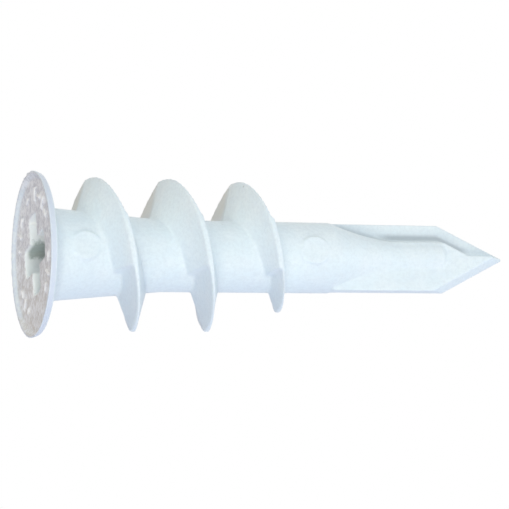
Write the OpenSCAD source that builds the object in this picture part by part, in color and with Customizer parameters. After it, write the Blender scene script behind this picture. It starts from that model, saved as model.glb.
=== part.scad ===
// Self-drilling drywall anchor, moulded in one piece of nylon.
// It stands on its flange: Z runs from the head face (0) to the point (length).
// The two mould halves part on the XZ plane and draw along Y, so the thread
// and the drill blade are shaped to leave the mould that way.

/* [Anchor] */
// Overall length from the head face to the point
length = 42; // [40:0.5:48]
// Diameter of the plain body
body_d = 6; // [5.6:0.1:6.4]

/* [Flange] */
// Diameter of the flange
flange_d = 13.7; // [13:0.1:18]
// Amount by which the flange's back edge is smaller in radius than its rim
edge_taper = 0.2; // [0:0.05:0.3]
// Thickness of the flange at its edge
edge_t = 0.55; // [0.45:0.05:0.8]
// Thickness of the flange where it meets the neck
web_t = 1; // [0.9:0.1:1.5]
// Width of the flat land round the rim
rim_w = 0.25; // [0.15:0.05:0.6]
// Depth of the dished face inside the rim
dish_depth = 0.3; // [0.1:0.05:0.35]

/* [Neck] */
// Diameter that the neck would have at the head face
neck_d = 7.92; // [7.4:0.02:8.2]
// Station at which the neck has come down to the body diameter
neck_end = 11; // [9:0.5:12]
// Radius of the fillet behind the flange
neck_fillet = 1.2; // [0.6:0.1:1.6]

/* [Cross recess] */
// Distance across two opposite arms at the mouth
cross_span = 6.9; // [6:0.1:7.2]
// Width of an arm at the mouth
cross_w = 2.4; // [1.6:0.1:2.6]
// Depth of the recess below the head face
cross_depth = 4.2; // [3:0.2:5]
// Draft of the arms' side walls, in degrees
cross_draft = 4; // [2:0.5:8]
// Lean of the arms' outer ends, in degrees
cross_lean = 14; // [10:1:18]
// Angle by which the arms are turned from the parting plane, in degrees
cross_turn = -5; // [-45:1:45]

/* [Screw bore] */
// Diameter of the bore that the screw cuts into
bore_d = 3.2; // [2.8:0.1:3.6]
// Station where the full bore ends
bore_end = 25; // [20:1:25]
// Diameter of the pilot bore inside the drill core
pilot_d = 1.6; // [1.2:0.1:1.8]
// Station where the pilot bore ends
pilot_end = 34; // [30:1:35]

/* [Thread] */
// Outside diameter of the thread
thread_d = 12.84; // [11:0.04:13.6]
// Advance of the thread in one turn
pitch = 6.36; // [6:0.02:7]
// Width of the crest
crest_w = 0.42; // [0.3:0.02:0.6]
// Slope of each flank from square to the axis at the middle turn, in degrees
flank_angle = 17; // [14:0.5:19]
// Degrees by which the flanks get steeper from one turn to the next
flank_ease = 2.2; // [0:0.2:3]
// Distance by which the crest is lower in the mould half behind the blade's +Y face
back_set = 0.26; // [0:0.02:0.3]
// Slope of the V flanks, in degrees
v_angle = 15.6; // [14:0.2:17]
// Width of a V tooth at its tip, where the flight crosses the parting plane
tooth_w = 0.52; // [0.4:0.02:0.9]
// Distance from the parting normal at which the flat V flanks take over
crease = 2.1; // [1.6:0.1:2.4]
// Draft of the V flanks along the draw, in degrees
draft = 0.5; // [0.5:0.1:2]
// Station at which the crest first crosses the parting plane on the -X side
lead_in = 5.12; // [4.6:0.02:5.6]
// Angle round from the +X side at which the flight starts to rise
rise_from = 30; // [20:5:60]
// Angle at which it has its full height
rise_to = 150; // [120:5:170]
// Angle at which it starts to fade back into the body
fade_from = 880; // [800:10:900]
// Angle at which it has gone
fade_to = 1235; // [1150:5:1250]

/* [Drill blade] */
// Station where the body starts to sweep down to the drill core
sweep_start = 25.8; // [25.2:0.2:28]
// Station where the sweep reaches the drill core
sweep_end = 32; // [30:0.5:33]
// Diameter of the drill core
core_d = 3.1; // [2.8:0.1:3.6]
// Station where the rounded end of the core dies into the blade
core_end = 36.8; // [36:0.2:38]
// Thickness of one lip of the blade
lip_t = 1.1; // [0.9:0.02:1.3]
// Distance from the axis to the heel of a lip
heel = 1.31; // [1.1:0.01:1.6]
// Radius of the flute behind a heel
flute_r = 1; // [0.8:0.05:1.05]
// Station of the shoulders where the point begins
shoulder = 36.3; // [35:0.1:37]
// Width of the flat at the very point
tip_w = 0.24; // [0.1:0.02:0.6]
// Width of the relief behind each cutting edge
relief_w = 0.62; // [0.4:0.02:1]

/* [Ejector marks] */
// Diameter of the round marks left by the ejector pins
pin_d = 2.4; // [1.6:0.1:3]
// Station of the mark on the neck
neck_pin = 3.72; // [3.5:0.02:5]
// Station of the mark on the body
body_pin = 23.7; // [22:0.1:24]
// Height of a mark above the crown of the barrel
pin_proud = 0.04; // [0.02:0.01:0.1]

/* [Hidden] */
$fn = 96;
body_r = body_d / 2;
neck_r = neck_d / 2;
core_r = core_d / 2;
thread_r = thread_d / 2;
flange_r = flange_d / 2;
bore_r = bore_d / 2;
pilot_r = pilot_d / 2;
// Distance by which a cutter runs past the face that it opens
over = 1;

// Outer radius of the neck, or of the body past its end
function barrel_r(z) = z >= neck_end ? body_r : neck_r + (body_r - neck_r) * z / neck_end;

// The sweep from the body to the drill core is steep at first and then eases
sweep_steps = 8;
sweep_power = 1.7;
sweep = [
    for (i = [0 : sweep_steps])
        let (s = i / sweep_steps)
        [core_r + (body_r - core_r) * pow(1 - s, sweep_power), sweep_start + s * (sweep_end - sweep_start)]
];

// The foot of the flight lies inside the body, where the union swallows it
root_r = body_r - 0.4;
flank_points = 6;

// A half turn is drawn in three zones: a V flank at each end and the helix between
end_steps = 8;
mid_steps = 6;
zone_gap = 0.3;
columns = concat(
    [for (i = [0 : end_steps]) [0, i / end_steps]],
    [for (i = [0 : mid_steps]) [1, i / mid_steps]],
    [for (i = [0 : end_steps]) [2, i / end_steps]]
);

// Angle of a column from the parting normal, bent so that the creases run straight
function swing(c, r) =
    let (
        lim = asin(crease / r),
        lo = [-90, -lim, lim][c[0]] + zone_gap,
        hi = [-lim, lim, 90][c[0]] - zone_gap
    )
    lo + (hi - lo) * c[1];
function turned(k, c, r) = 180 * k + 90 + swing(c, r);

// Share of full height at an angle that runs on from turn to turn
fade_power = 1.45;
function clip(t) = min(max(t, 0), 1);
function height(a) =
    clip((a - rise_from) / (rise_to - rise_from))
    * (1 - pow(clip((a - fade_from) / (fade_to - fade_from)), fade_power));

// The crest steps down quickly behind the parting plane, most of all just past a tooth
step_rate = 3;
past_tooth = 1.3;
function full_r(a) = thread_r - back_set * clip(step_rate * sin(a)) * (1 + past_tooth * clip(cos(a)));
function crest_r(a) = root_r + (full_r(a) - root_r) * height(a);

// Rise of a flank per unit of radius, steeper towards the point
middle_angle = 640;
function slope(a) = tan(flank_angle - flank_ease * (a - middle_angle) / 360);

// Station of the middle of the crest
function station(a) = lead_in + pitch * (a - 180) / 360;

// Station of a point on a flank: side is -1 towards the head and 1 towards the point
function flank_z(k, c, r, side) =
    let (
        f = swing(c, r),
        a = turned(k, c, r),
        top = crest_r(a),
        across = r * abs(sin(f)),
        v_half = tooth_w / 2 + tan(v_angle) * (top - across) - tan(draft) * r * cos(f)
    )
    c[0] == 2 && side < 0 ? station(180 * (k + 1)) - v_half :
    c[0] == 0 && side > 0 ? station(180 * k) + v_half :
    station(a) + side * (crest_w / 2 + slope(a) * (top - r));

module flight() {
    ring = 2 * flank_points;
    stops = [
        for (k = [0 : floor(fade_to / 180)])
            for (c = columns)
                let (a = turned(k, c, thread_r))
                if (a > rise_from + 1 && a < fade_to - 1) [k, c]
    ];
    points = [
        for (s = stops)
            for (i = [0 : ring - 1])
                let (
                    k = s[0],
                    c = s[1],
                    side = i < flank_points ? -1 : 1,
                    step = i < flank_points ? i : ring - 1 - i,
                    top = max(crest_r(turned(k, c, crest_r(turned(k, c, thread_r)))), root_r + 0.02),
                    r = root_r + (top - root_r) * step / (flank_points - 1),
                    a = turned(k, c, r)
                )
                [r * cos(a), r * sin(a), flank_z(k, c, r, side)]
    ];
    last = len(stops) - 1;
    faces = concat(
        [[for (i = [ring - 1 : -1 : 0]) i]],
        [
            for (s = [0 : last - 1])
                for (i = [0 : ring - 1])
                    for (t = [0, 1])
                        let (
                            here = s * ring,
                            next = here + ring,
                            j = (i + 1) % ring
                        )
                        t == 0 ? [here + i, next + j, next + i] : [here + i, here + j, next + j]
        ],
        [[for (i = [0 : ring - 1]) last * ring + i]]
    );
    polyhedron(points, faces, convexity = 12);
}

// Flange, neck, body, sweep and drill core in one turned profile
core_round = 0.8;
module barrel() {
    fillet_z = web_t + neck_fillet;
    fillet_x = barrel_r(fillet_z) + neck_fillet;
    rotate_extrude()
        difference() {
            polygon(concat(
                [
                    [0, dish_depth],
                    [flange_r - rim_w - dish_depth, dish_depth],
                    [flange_r - rim_w, 0],
                    [flange_r, 0],
                    [flange_r - edge_taper, edge_t],
                    [fillet_x, web_t],
                    [barrel_r(fillet_z), fillet_z],
                    [body_r, neck_end]
                ],
                sweep,
                [
                    [core_r, core_end - core_r / 2],
                    [core_r * core_round, core_end - core_r / 4],
                    [0, core_end]
                ]
            ));
            translate([fillet_x, fillet_z])
                circle(r = neck_fillet);
        }
}

// Plan of the blade, drawn in the parting plane. Its start slants out of the body and
// has its full width just past the place where the body starts to narrow
start_in = 0.5;
start_past = 0.1;
module blade_plan(thickness) {
    rotate([90, 0, 0])
        linear_extrude(thickness)
            polygon([
                [body_r - start_in, bore_end],
                [body_r, sweep_start + start_past],
                [body_r, shoulder],
                [tip_w / 2, length],
                [-tip_w / 2, length],
                [-body_r, shoulder],
                [-body_r, sweep_start + start_past],
                [start_in - body_r, bore_end]
            ]);
}

// What the flute takes away behind a heel: open to the side, rounded at the heel.
// The round is a little larger than its place, so that its wall crosses the others
flute_swell = 1.03;
module flute_cut(reach) {
    linear_extrude(reach) {
        translate([-flute_r, -flute_r])
            circle(r = flute_r * flute_swell);
        translate([-flute_r - 4 * body_r, -2 * lip_t])
            square([4 * body_r, 3 * lip_t]);
    }
}

// One lip with its flute, cutting edge and reliefs; the other is its half turn.
// Near the point the flute turns in along the far cutting edge and stops short of
// the axis, which leaves a web between the lips
edge_lean = atan((body_r - tip_w / 2) / (length - shoulder));
edge_len = norm([body_r - tip_w / 2, length - shoulder]);
web_w = 0.12;
run_back = 3;

module lip() {
    difference() {
        blade_plan(lip_t);
        translate([-heel, 0, bore_end - over])
            flute_cut(length);
        intersection() {
            translate([-heel, 0, shoulder])
                rotate([0, edge_lean, 0])
                    translate([0, 0, -run_back])
                        flute_cut(length);
            translate([-web_w - 3 * body_r, -body_r, shoulder - run_back])
                cube([3 * body_r, 2 * body_r, length]);
        }
        relief();
        mirror([1, 0, 0])
            relief();
    }
}

// The face behind a cutting edge, which slopes away from the parting plane
module relief() {
    translate([body_r, 0, shoulder])
        rotate([0, -edge_lean, 0])
            translate([0, 0, -run_back])
                linear_extrude(edge_len + run_back + over)
                    polygon([
                        [0, 0],
                        [-relief_w * (lip_t + over) / lip_t, -lip_t - over],
                        [over, -lip_t - over],
                        [over, 0]
                    ]);
}

module drill_blade() {
    lip();
    rotate([0, 0, 180])
        lip();
}

// Flat round marks on the crown of the barrel, the first one leaning with the neck
module ejector_marks() {
    neck_lean = atan((neck_r - body_r) / neck_end);
    for (mark = [[neck_pin, neck_lean], [body_pin, 0]])
        translate([0, -barrel_r(mark[0]) - pin_proud, mark[0]])
            rotate([-90 - mark[1], 0, 0])
                cylinder(d = pin_d, h = body_r / 2);
}

// Two tapered arms crossed at right angles, their outer ends on one cone
module cross_recess() {
    lean_in = (cross_depth + over) * tan(cross_lean);
    draft_in = (cross_depth + over) * tan(cross_draft);
    mouth_r = cross_span / 2 + over * tan(cross_lean);
    mouth_w = cross_w / 2 + over * tan(cross_draft);
    for (turn = [0, 90])
        rotate([0, 0, cross_turn + turn])
            intersection() {
                translate([0, 0, -over])
                    cylinder(r1 = mouth_r, r2 = mouth_r - lean_in, h = cross_depth + over);
                translate([0, body_d, 0])
                    rotate([90, 0, 0])
                        linear_extrude(2 * body_d)
                            polygon([
                                [-mouth_w, -over],
                                [mouth_w, -over],
                                [mouth_w - draft_in, cross_depth + over],
                                [draft_in - mouth_w, cross_depth + over]
                            ]);
            }
}

// The bore for the screw, stepped down to a pilot in the drill core
module screw_bore() {
    rotate_extrude()
        polygon([
            [0, 0],
            [bore_r, 0],
            [bore_r, bore_end],
            [pilot_r, bore_end + bore_r - pilot_r],
            [pilot_r, pilot_end],
            [0, pilot_end + pilot_r]
        ]);
}

module anchor() {
    color("whitesmoke")
        difference() {
            union() {
                barrel();
                flight();
                drill_blade();
                ejector_marks();
            }
            cross_recess();
            screw_bore();
        }
}

anchor();
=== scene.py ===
import math

import bmesh
import bpy
from mathutils import Matrix, Vector


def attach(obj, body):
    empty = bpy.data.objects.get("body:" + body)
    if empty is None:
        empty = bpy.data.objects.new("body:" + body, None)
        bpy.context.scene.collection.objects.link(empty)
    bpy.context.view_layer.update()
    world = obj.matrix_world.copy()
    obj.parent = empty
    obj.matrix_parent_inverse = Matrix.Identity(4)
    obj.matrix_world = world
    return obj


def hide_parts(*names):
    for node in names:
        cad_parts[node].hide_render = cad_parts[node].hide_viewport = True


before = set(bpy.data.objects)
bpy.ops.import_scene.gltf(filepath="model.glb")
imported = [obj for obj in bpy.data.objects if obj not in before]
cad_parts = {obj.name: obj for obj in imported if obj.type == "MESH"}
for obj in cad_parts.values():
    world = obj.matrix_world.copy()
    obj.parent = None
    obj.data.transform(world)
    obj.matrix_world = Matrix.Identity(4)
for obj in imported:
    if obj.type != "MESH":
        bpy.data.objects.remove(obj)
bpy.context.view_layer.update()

MM = 0.001

# Sizes of the part that its looks follow, in millimetres: out from the axis, or along z from the head

ANCHOR_LENGTH = 42
FLANGE_RADIUS = 6.85
FLANGE_BACK = 0.9
RIM_FROM = 6.3
DISH_FLOOR = 0.3
NECK_RADIUS = 3.96
NECK_END = 11
BODY_RADIUS = 3
BORE_RADIUS = 1.6
BORE_END = 25
LIP_FACE = 0.8

# The recess, the sweep of the body and the blade's heel close in towards the axis at a slope along z

RECESS_REACH = 3.5
RECESS_SLOPE = 0.25
SWEEP_START = 26.17
SWEEP_SLOPE = 0.3
HEEL_OUT = 1.31
HEEL_TURN = 36.07
HEEL_SLOPE = 0.475
HEEL_AT_POINT = 0.25

# The anchor is turned about its axis in the photograph, so its parting plane isn't quite upright

PARTING_TURN = math.radians(13.3)
TURN_COS = math.cos(PARTING_TURN)
TURN_SIN = math.sin(PARTING_TURN)


# Materials: socket arithmetic and one maker for every other node

class Value:
    """A socket that can be used in sums with other sockets and plain numbers."""

    def __init__(self, shader, socket):
        self.shader = shader
        self.socket = socket

    def _math(self, operation, *others):
        inputs = dict(enumerate((self, *others)))
        return self.shader.node("ShaderNodeMath", {"operation": operation}, inputs)

    def __add__(self, other):
        return self._math("ADD", other)

    def __radd__(self, other):
        return self._math("ADD", other)

    def __sub__(self, other):
        return self._math("SUBTRACT", other)

    def __rsub__(self, other):
        return self._math("MULTIPLY_ADD", -1.0, other)

    def __mul__(self, other):
        return self._math("MULTIPLY", other)

    def __rmul__(self, other):
        return self._math("MULTIPLY", other)

    def __pow__(self, other):
        return self._math("POWER", other)

    def __abs__(self):
        return self._math("ABSOLUTE")

    def root(self):
        return self._math("SQRT")

    def at_most(self, other):
        return self._math("MINIMUM", other)

    def at_least(self, other):
        return self._math("MAXIMUM", other)

    def ramp(self, low, high, from_value, to_value):
        """Runs smoothly from from_value at low to to_value at high, and stays there."""
        return self.shader.node(
            "ShaderNodeMapRange",
            {"interpolation_type": "SMOOTHSTEP", "clamp": True},
            {"Value": self, "From Min": low, "From Max": high, "To Min": from_value, "To Max": to_value},
        )

    def rises(self, low, high):
        """0 up to low and 1 from high."""
        return self.ramp(low, high, 0.0, 1.0)

    def falls(self, low, high):
        """1 up to low and 0 from high."""
        return self.ramp(low, high, 1.0, 0.0)


class Shader:
    """A material's or the world's nodes."""

    def __init__(self, tree):
        self.tree = tree
        tree.nodes.clear()

    def node(self, kind, settings=None, inputs=None, output=0):
        made = self.tree.nodes.new(kind)
        for name, value in (settings or {}).items():
            setattr(made, name, value)
        for name, value in (inputs or {}).items():
            socket = made.inputs[name]
            if isinstance(value, Value):
                self.tree.links.new(value.socket, socket)
            else:
                socket.default_value = value
        return Value(self, made.outputs[output]) if len(made.outputs) else None

    def mix(self, factor, first, second):
        """A colour between two colours."""
        return self.node("ShaderNodeMix", {"data_type": "RGBA"}, {0: factor, 6: first, 7: second}, output=2)

    def vector(self, operation, *vectors, output=0, **numbers):
        """Vector arithmetic on vectors and colours."""
        inputs = {**dict(enumerate(vectors)), **numbers}
        return self.node("ShaderNodeVectorMath", {"operation": operation}, inputs, output)

    def finish(self, kind, surface):
        self.node(kind, None, {"Surface": surface})


def colour(red, green, blue):
    return (red, green, blue, 1.0)


WHITE = colour(1.0, 1.0, 1.0)


class Nylon(Shader):
    """Milky unfilled nylon, satin and faintly mottled. Its places and sizes are in millimetres.

    Each mask runs from 0 to 1, down runs down the photograph across the anchor, and each layer of
    colour is laid over its base.
    """

    def __init__(self, tree):
        super().__init__(tree)
        self.spot = self.vector("SCALE", self.node("ShaderNodeTexCoord", output="Object"), Scale=1 / MM)
        self.x, self.y, self.z = (
            self.node("ShaderNodeSeparateXYZ", None, {0: self.spot}, output=axis) for axis in range(3)
        )
        self.radius = (self.x * self.x + self.y * self.y).root()
        self.down = self.x * TURN_COS + self.y * TURN_SIN

        self.mottling = self.noise(2.4, detail=4.0, roughness=0.55)
        self.flow = self.noise(0.9, detail=3.0, roughness=0.5, stretch=(1, 1, 0.25))
        self.grain = self.noise(0.3, detail=3.0, roughness=0.7)
        self.smears = self.noise(0.5, detail=4.0, roughness=0.7)

        self.on_front = self.z.falls(DISH_FLOOR + 0.04, DISH_FLOOR + 0.16)
        self.on_handled = self.handled_face()
        self.on_marks = self.z.falls(0.17, 0.22) * self.radius.falls(5.9, 6.1)

    def noise(self, size, detail, roughness, stretch=(1, 1, 1)):
        """Soft noise whose lumps are about size across."""
        places = {"Vector": self.spot, "Scale": stretch}
        stretched = self.node("ShaderNodeMapping", {"vector_type": "POINT"}, places)
        return self.node(
            "ShaderNodeTexNoise",
            {"noise_dimensions": "3D"},
            {"Vector": stretched, "Scale": 1 / size, "Detail": detail, "Roughness": roughness},
        )

    def milky(self):
        """Plain unmarked nylon."""
        patches = self.mottling.rises(0.35, 0.65)
        mottled = self.mix(patches, colour(0.815, 0.89, 0.925), colour(0.85, 0.905, 0.93))
        clouded = self.mix(self.flow.ramp(0.45, 0.75, 0.0, 0.3), mottled, colour(0.78, 0.86, 0.92))
        return self.mix(self.grain.ramp(0.35, 0.7, 0.0, 0.5), clouded, colour(0.72, 0.78, 0.82))

    def handled_face(self):
        """Where the head is greyed by handling: the dished face, and the rim's two ends."""
        inside_rim = self.radius.falls(RIM_FROM - 0.2, RIM_FROM + 0.1)
        rim_ends = abs(self.down).rises(4.9, 5.7) * self.radius.ramp(6.7, 6.8, 0.8, 0.0)
        return self.on_front * inside_rim.at_least(rim_ends)

    def head(self, base):
        """The flange: its dappled rim, its handled face, a painted highlight on its raised bars' tops, and
        painted shade on its thin edge.
        """
        on_rim = self.on_front * self.radius.rises(RIM_FROM - 0.1, RIM_FROM + 0.05)
        dapple = self.smears.ramp(0.42, 0.6, 0.1, 0.6)
        dappled = self.mix(on_rim * dapple, base, colour(0.68, 0.74, 0.86))

        grime = self.mix(self.down.rises(-3, 5), colour(0.655, 0.66, 0.70), colour(0.70, 0.675, 0.645))
        dingy = self.mix(self.smears.rises(0.38, 0.62), grime, colour(0.97, 0.98, 1.0))
        handled = self.mix(self.on_handled * 0.9, dappled, dingy)
        # Painted highlight: the tops of the raised bars are painted white.
        with_bar_highlights = self.mix(self.on_marks * 0.8, handled, WHITE)

        # Painted shade: the flange's thin edge is painted a darker, bluer grey.
        at_edge = self.radius.rises(FLANGE_RADIUS - 0.23, FLANGE_RADIUS - 0.15)
        on_edge = at_edge * self.z.rises(0.0, 0.1) * self.z.falls(FLANGE_BACK, FLANGE_BACK + 0.1)
        return self.mix(on_edge * 0.7, with_bar_highlights, colour(0.68, 0.71, 0.80))

    def flutes(self, base):
        """Painted shade in the two flutes against the heel, and beside the body where it sweeps down to the
        drill core.
        """
        in_flute = (self.x * self.y).rises(-0.1, 0.02) * abs(self.y).falls(LIP_FACE, LIP_FACE + 0.2)
        closing = HEEL_OUT - (self.z - HEEL_TURN) * HEEL_SLOPE
        heel = closing.at_most(HEEL_OUT).at_least(HEEL_AT_POINT)
        past_heel = abs(self.x) - heel
        against_heel = past_heel.rises(0.12, 0.4) * past_heel.ramp(0.55, 1.0, 0.7, 0.0)
        over_blade = self.z.rises(30, 32) * self.z.falls(38, 39.2)

        sweep = BODY_RADIUS - (self.z - SWEEP_START) * SWEEP_SLOPE
        past_sweep = abs(self.x) - sweep.at_least(heel)
        over_sweep = self.z.rises(26, 27.5) * self.z.falls(31, 33)
        beside_body = past_sweep.ramp(0.0, 0.35, 0.45, 0.0) * over_sweep

        # Painted shade: dark grey in the flutes against the heel and beside the swept body.
        crease_shade = (against_heel * over_blade).at_least(beside_body)
        return self.mix(in_flute * crease_shade, base, colour(0.42, 0.47, 0.50))

    def recess(self, base):
        """The cross recess with painted light on its walls, a painted shadow across its middle further in,
        and painted shade down the bore under it.
        """
        in_recess = (self.radius + self.z * RECESS_SLOPE).falls(RECESS_REACH, RECESS_REACH + 0.2)
        below_floor = self.z.rises(DISH_FLOOR + 0.02, DISH_FLOOR + 0.1)
        # Painted light: the recess walls below the dish floor are painted lighter.
        lit_recess = self.mix(in_recess * below_floor, base, colour(0.97, 1.0, 1.0))

        # Painted shadow: a ragged dark band across the recess's middle, further in.
        ragged = self.down + (self.smears - 0.5) * 1.5
        across_middle = ragged.rises(-1.4, -0.7) * ragged.ramp(0.0, 0.6, 0.7, 0.15)
        deeper = self.z.rises(DISH_FLOOR + 0.1, DISH_FLOOR + 0.5)
        shadowed_recess = self.mix(in_recess * deeper * across_middle, lit_recess, colour(0.18, 0.26, 0.23))

        # Painted shade: the bore is painted nearly black along its length.
        in_bore = self.radius.falls(BORE_RADIUS + 0.02, BORE_RADIUS + 0.15)
        along_bore = self.z.rises(1.8, 4.5) * self.z.falls(BORE_END + 0.2, BORE_END + 0.6)
        return self.mix(in_bore * along_bore * 0.9, shadowed_recess, colour(0.16, 0.19, 0.17))

    def flanks(self, base):
        """Painted warm shade on the flights' upper flanks, on the side away from the camera."""
        taper = (NECK_RADIUS - BODY_RADIUS) / NECK_END
        body_radius = (NECK_RADIUS - self.z * taper).at_least(BODY_RADIUS)
        on_flight = (self.radius - body_radius).rises(0.1, 0.6) * self.z.rises(2.5, 4)
        shaded_flank = on_flight * self.x.falls(-4.4, -2.9) * self.y.rises(-0.6, 1.2)
        # Painted shade: the upper flanks away from the camera are tinted a warm, darker grey.
        return self.mix(shaded_flank * 0.45, base, colour(0.81, 0.77, 0.64))

    def specks(self, base):
        """A few small brown specks, some millimetres apart."""
        apart = 2.1
        places = {"Vector": self.spot, "Scale": 1 / apart}
        from_speck = self.node("ShaderNodeTexVoronoi", {"feature": "F1"}, places)
        specks = from_speck.falls(0.03, 0.06) * self.smears.rises(0.5, 0.6)
        return self.mix(specks * 0.5, base, colour(0.33, 0.29, 0.25))

    def relief(self):
        """The skin's height: grain, the seam of the mould and the worn head face."""
        on_parting = abs(self.y).falls(0.02, 0.06)
        outside = self.radius.rises(2.0, 2.2) * self.z.rises(1.4, 1.6)
        skin = self.grain * 0.6 + self.flow * 0.4
        height = skin + on_parting * outside * 0.8 + self.smears * self.on_handled * 1.5
        return self.node("ShaderNodeBump", None, {"Strength": 0.5, "Distance": 0.04 * MM, "Height": height})

    def surface(self):
        nylon_and_head = self.head(self.milky())
        # The flutes, recess and flanks lay painted light and painted shade over the colour.
        lit_and_shaded = self.flanks(self.recess(self.flutes(nylon_and_head)))
        return self.node(
            "ShaderNodeBsdfPrincipled",
            None,
            {
                "Base Color": self.specks(lit_and_shaded),
                "Roughness": self.mottling.ramp(0.3, 0.7, 0.38, 0.5) - self.on_marks * 0.15,
                "Normal": self.relief(),
                "IOR": 1.53,
                "Subsurface Weight": 0.12,
                "Subsurface Radius": (1.0, 0.95, 0.85),
                "Subsurface Scale": 0.4 * MM,
            },
        )


def natural_nylon():
    """The moulding's material."""
    material = bpy.data.materials.new("natural_nylon")
    material.use_nodes = True
    s = Nylon(material.node_tree)
    s.finish("ShaderNodeOutputMaterial", s.surface())
    return material


def floor_white():
    """Pale floor that shows only from above, so that the head can be seen from below."""
    material = bpy.data.materials.new("floor_white")
    material.use_nodes = True
    s = Shader(material.node_tree)
    white = s.node("ShaderNodeBsdfDiffuse", None, {"Color": colour(0.93, 0.93, 0.93)})
    clear = s.node("ShaderNodeBsdfTransparent")
    from_below = s.node("ShaderNodeNewGeometry", output="Backfacing")
    lamp_ray = s.node("ShaderNodeLightPath", output="Is Shadow Ray")
    soft_ray = s.node("ShaderNodeLightPath", output="Is Diffuse Ray")
    let_through = from_below.at_least(lamp_ray).at_least(soft_ray)
    shown = s.node("ShaderNodeMixShader", None, {0: let_through, 1: white, 2: clear})
    s.finish("ShaderNodeOutputMaterial", shown)
    return material


# Shapes

def new_piece(name, bm, material):
    mesh = bpy.data.meshes.new(name)
    bm.to_mesh(mesh)
    bm.free()
    piece = bpy.data.objects.new(name, mesh)
    bpy.context.scene.collection.objects.link(piece)
    mesh.materials.append(material)
    return piece


def bake_modifiers(piece, material):
    """Leaves the finished shape in the piece's own mesh."""
    seen = piece.evaluated_get(bpy.context.evaluated_depsgraph_get())
    shaped = bpy.data.meshes.new_from_object(seen)
    piece.modifiers.clear()
    rough = piece.data
    piece.data = shaped
    bpy.data.meshes.remove(rough)
    shaped.materials.clear()
    shaped.materials.append(material)
    for face in shaped.polygons:
        face.use_smooth = True


def head_ticks(bm):
    """A broken ring of plain raised bars on the dished face, where such anchors are marked."""
    slots = 24
    left_out = (0, 1, 5, 6, 10, 12, 17, 18, 22, 23)
    ring = 4.9 * MM
    height, middle = 0.34 * MM, 0.28 * MM
    radial, short, across = (1.1 * MM, 0.22 * MM), (0.5 * MM, 0.22 * MM), (0.22 * MM, 0.8 * MM)
    sizes = (radial, across, short, radial, across)
    for i in range(slots):
        if i in left_out:
            continue
        length, width = sizes[i % len(sizes)]
        bar = bmesh.ops.create_cube(bm, size=1.0)["verts"]
        bmesh.ops.scale(bm, verts=bar, vec=(length, width, height))
        bmesh.ops.translate(bm, verts=bar, vec=(ring, 0, middle))
        turn = Matrix.Rotation(2 * math.pi * i / slots, 3, "Z")
        bmesh.ops.rotate(bm, verts=bar, cent=(0, 0, 0), matrix=turn)


def moulding():
    """The anchor's skin: the solid with every edge softened as a mould leaves it."""
    bm = bmesh.new()
    bm.from_mesh(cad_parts["anchor"].data)
    bmesh.ops.remove_doubles(bm, verts=bm.verts, dist=0.0005 * MM)
    head_ticks(bm)
    material = natural_nylon()
    piece = new_piece("moulding", bm, material)
    skin = piece.modifiers.new("skin", "REMESH")
    skin.mode = "VOXEL"
    skin.voxel_size = 0.12 * MM
    soften = piece.modifiers.new("soften", "SMOOTH")
    soften.factor = 0.5
    soften.iterations = 2
    thin = piece.modifiers.new("thin", "DECIMATE")
    thin.ratio = 0.58
    bake_modifiers(piece, material)
    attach(piece, "root")
    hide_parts("anchor")
    return piece


# The photograph's view, in a frame whose X runs along the axis from head to point

def from_view(along, away, up):
    """A direction or place in the photograph's frame, turned into the part's."""
    x = -(TURN_SIN * away + TURN_COS * up)
    y = TURN_COS * away - TURN_SIN * up
    return Vector((x, y, along))


def camera():
    """The camera that took the photograph, and its three directions."""
    yaw, roll = math.radians(19.2), math.radians(0.78)
    seen, distance = from_view(19.30 * MM, 0, 0.23 * MM), 200 * MM
    focal_pixels, photo_pixels, sensor = 2377, 509, 36

    back = from_view(-math.sin(yaw), -math.cos(yaw), 0)
    level = from_view(math.cos(yaw), -math.sin(yaw), 0)
    plumb = from_view(0, 0, 1)
    right = level * math.cos(roll) + plumb * math.sin(roll)
    up = plumb * math.cos(roll) - level * math.sin(roll)

    data = bpy.data.cameras.new("photo_camera")
    data.sensor_width = sensor
    data.lens = sensor * focal_pixels / photo_pixels
    data.clip_start, data.clip_end = 5 * MM, 5
    cam = bpy.data.objects.new("photo_camera", data)
    bpy.context.scene.collection.objects.link(cam)
    turn = Matrix((right, up, back)).transposed().to_4x4()
    cam.matrix_world = Matrix.Translation(seen + back * distance) @ turn
    bpy.context.scene.camera = cam
    return right, up, back


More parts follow.
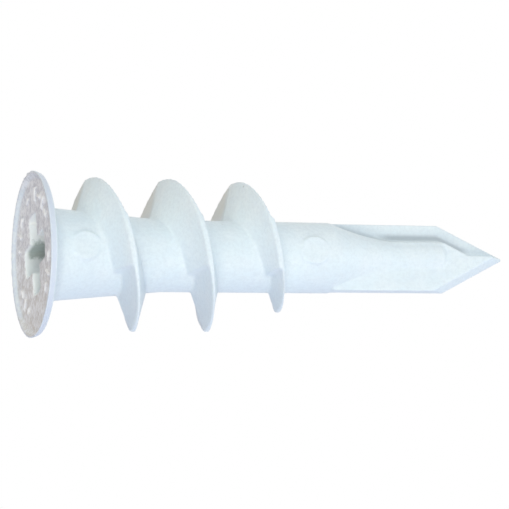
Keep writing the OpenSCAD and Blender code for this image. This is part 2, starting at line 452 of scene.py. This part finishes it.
def softbox(name, direction, power, tint):
    """A square lamp that faces the anchor's middle."""
    distance, size = 0.5, 0.25
    data = bpy.data.lights.new(name, "AREA")
    data.size = size
    data.energy = power
    data.color = tint
    lamp = bpy.data.objects.new(name, data)
    bpy.context.scene.collection.objects.link(lamp)
    middle = Vector((0, 0, ANCHOR_LENGTH * MM / 2))
    toward_lamp = direction.normalized()
    lamp.location = middle + toward_lamp * distance
    lamp.rotation_mode = "QUATERNION"
    lamp.rotation_quaternion = toward_lamp.to_track_quat("Z", "Y")
    return lamp


def white_room(right, up, back):
    """Walls that light the anchor, cool from below and warm from the head's side, and look white."""
    world = bpy.data.worlds.new("white_room")
    bpy.context.scene.world = world
    world.use_nodes = True
    s = Shader(world.node_tree)
    toward = s.node("ShaderNodeTexCoord", output="Generated")
    walls = (
        (back, (0.60, 0.61, 0.66)),
        (-back, (0.22, 0.14, 0.08)),
        (right, (0.61, 0.65, 0.69)),
        (-right, (0.46, 0.40, 0.38)),
        (up, (0.64, 0.67, 0.67)),
        (-up, (0.41, 0.56, 0.88)),
    )
    room = (0.0, 0.0, 0.0)
    for way, tint in walls:
        facing = s.vector("DOT_PRODUCT", toward, way, output="Value").at_least(0.0) ** 2
        room = s.vector("ADD", room, s.vector("SCALE", tint, Scale=facing))

    seen_directly = s.node("ShaderNodeLightPath", output="Is Camera Ray")
    mirrored = s.node("ShaderNodeLightPath", output="Is Glossy Ray")
    through = s.node("ShaderNodeLightPath", output="Is Transmission Ray")
    shows_white = seen_directly.at_least(mirrored).at_least(through)
    sky = s.mix(shows_white, room, WHITE)
    s.finish("ShaderNodeOutputWorld", s.node("ShaderNodeBackground", None, {"Color": sky, "Strength": 1.0}))


def studio(right, up, back):
    """Four soft lamps in a white room, over a pale floor."""
    softbox("low_front", back - up * 0.6, 0.92, (1.0, 0.97, 0.81))
    softbox("high_front", back + up * 0.8, 0.48, (0.7, 0.89, 0.93))
    softbox("point_side", right, 0.36, (0.92, 1.0, 1.0))
    softbox("high_head_side", up - right, 0.25, (1.0, 0.85, 0.55))
    white_room(right, up, back)

    half_width, drop = 1.2, 0.05 * MM
    bm = bmesh.new()
    bmesh.ops.create_grid(bm, x_segments=1, y_segments=1, size=half_width)
    bmesh.ops.translate(bm, verts=bm.verts, vec=(0, 0, -drop))
    floor = new_piece("floor", bm, floor_white())


bpy.context.scene.view_settings.view_transform = "Standard"
moulding()
studio(*camera())
